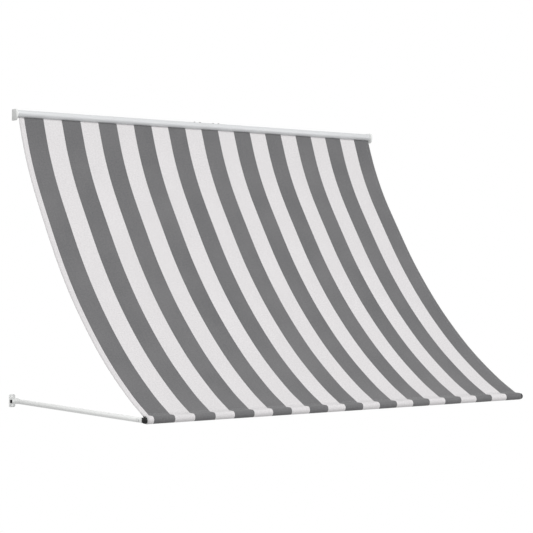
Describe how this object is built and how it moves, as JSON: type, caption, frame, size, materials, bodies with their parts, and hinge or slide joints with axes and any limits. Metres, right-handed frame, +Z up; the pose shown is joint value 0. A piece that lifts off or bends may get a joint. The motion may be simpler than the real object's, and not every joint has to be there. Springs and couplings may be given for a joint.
{
  "type": "fabric window awning",
  "caption": "Window awning of striped cloth on a spring roller, held out by two swinging arms and a front bar.",
  "frame": {"origin": "on the wall, at the back face of the left head bracket, level with the roller's axis", "axes": "+X to the right along the roller, +Y into the wall, +Z up"},
  "size_m": [1.9914, 1.0926, 1.265],
  "materials": {
    "roller_silver": "satin",
    "bracket_grey": "satin",
    "arm_white": "satin",
    "steel": "brushed",
    "white_plastic": "matte",
    "black_plastic": "matte",
    "striped_cloth": "woven"
  },
  "bodies": {
    "root": {"head_bracket_left": "bracket_grey", "head_bracket_right": "bracket_grey", "arm_bracket_left": "bracket_grey", "arm_bracket_right": "bracket_grey", "pivot_bolt_left": "steel", "pivot_bolt_right": "steel", "pivot_washer_left": "white_plastic", "pivot_washer_right": "white_plastic", "spring_spindle": "steel", "roller_spring": "steel", "awning_cloth": "striped_cloth"},
    "roller": {"roller_tube_left": "roller_silver", "roller_tube_right": "roller_silver", "roller_joint_sleeve": "steel", "roller_joint_screw_1": "steel", "roller_joint_screw_2": "steel", "roller_joint_screw_3": "steel", "roller_joint_screw_4": "steel", "cloth_bead": "white_plastic", "roller_plug_left": "white_plastic", "roller_plug_right": "white_plastic", "spring_anchor": "white_plastic"},
    "arms": {"arm_tube_left": "arm_white", "arm_tube_right": "arm_white", "arm_root_eye_left": "white_plastic", "arm_root_eye_right": "white_plastic", "arm_tip_eye_left": "white_plastic", "arm_tip_eye_right": "white_plastic", "bar_cap_left": "black_plastic", "bar_cap_right": "black_plastic", "bar_pivot_screw_left": "steel", "bar_pivot_screw_right": "steel"},
    "front_bar": {"bar_tube_left": "roller_silver", "bar_tube_right": "roller_silver", "bar_joint_sleeve": "steel", "bar_washer_left": "white_plastic", "bar_washer_right": "white_plastic"},
    "left_knob": {"clamp_knob_left": "black_plastic"},
    "right_knob": {"clamp_knob_right": "black_plastic"}
  },
  "joints": [
    {"name": "arm_swing", "type": "hinge", "parent": "root", "child": "arms", "pos_m": [0.962, -0.034, -1.2185], "axis": [-1, 0, 0], "range_deg": [0, 88], "deforming": ["awning_cloth"]},
    {"name": "roller_spin", "type": "hinge", "parent": "root", "child": "roller", "pos_m": [0.962, -0.025, 0], "axis": [-1, 0, 0], "range_deg": [0, 4068], "deforming": ["roller_spring"]},
    {"name": "bar_turn", "type": "hinge", "parent": "arms", "child": "front_bar", "pos_m": [0.962, -1.078, -1.2185], "axis": [-1, 0, 0], "range_deg": [-90, 30]},
    {"name": "left_knob_turn", "type": "hinge", "parent": "root", "child": "left_knob", "pos_m": [-0.031, -0.034, -1.2185], "axis": [-1, 0, 0], "range_deg": [0, 360]},
    {"name": "right_knob_turn", "type": "hinge", "parent": "root", "child": "right_knob", "pos_m": [1.955, -0.034, -1.2185], "axis": [1, 0, 0], "range_deg": [0, 360]}
  ],
  "couplings": [
    {"joint": "roller_spin", "follows": "arm_swing", "ratio": 46.2}
  ]
}
